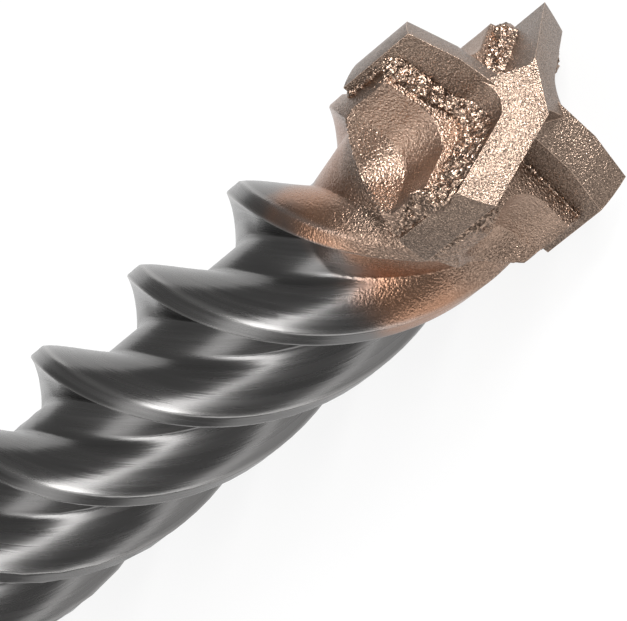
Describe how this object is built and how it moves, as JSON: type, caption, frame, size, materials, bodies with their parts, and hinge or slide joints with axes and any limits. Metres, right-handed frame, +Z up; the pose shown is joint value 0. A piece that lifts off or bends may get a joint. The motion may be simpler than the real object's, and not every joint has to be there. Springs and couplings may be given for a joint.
{
  "type": "masonry drill bit",
  "caption": "Straight rotary-hammer bit with a spiral-fluted steel body, a grooved quick-change shank and a brazed cross-shaped carbide tip for drilling concrete and stone.",
  "frame": {"origin": "centre of the flat end face that the hammer strikes", "axes": "+X along the bit's axis toward the cutting tip, +Z up through the middle of a drive groove, +Y through the middle of a lock groove"},
  "size_m": [0.16, 0.0106, 0.0106],
  "materials": {
    "steel": "shot-blasted and bronzed at the head, worn to smooth grey on the flutes",
    "carbide": "fine-grained, blasted",
    "braze": "rough, glittering copper braze"
  },
  "bodies": {
    "root": {"steel_body": "steel", "carbide_tip": "carbide", "braze_filler": "braze"}
  },
  "joints": []
}
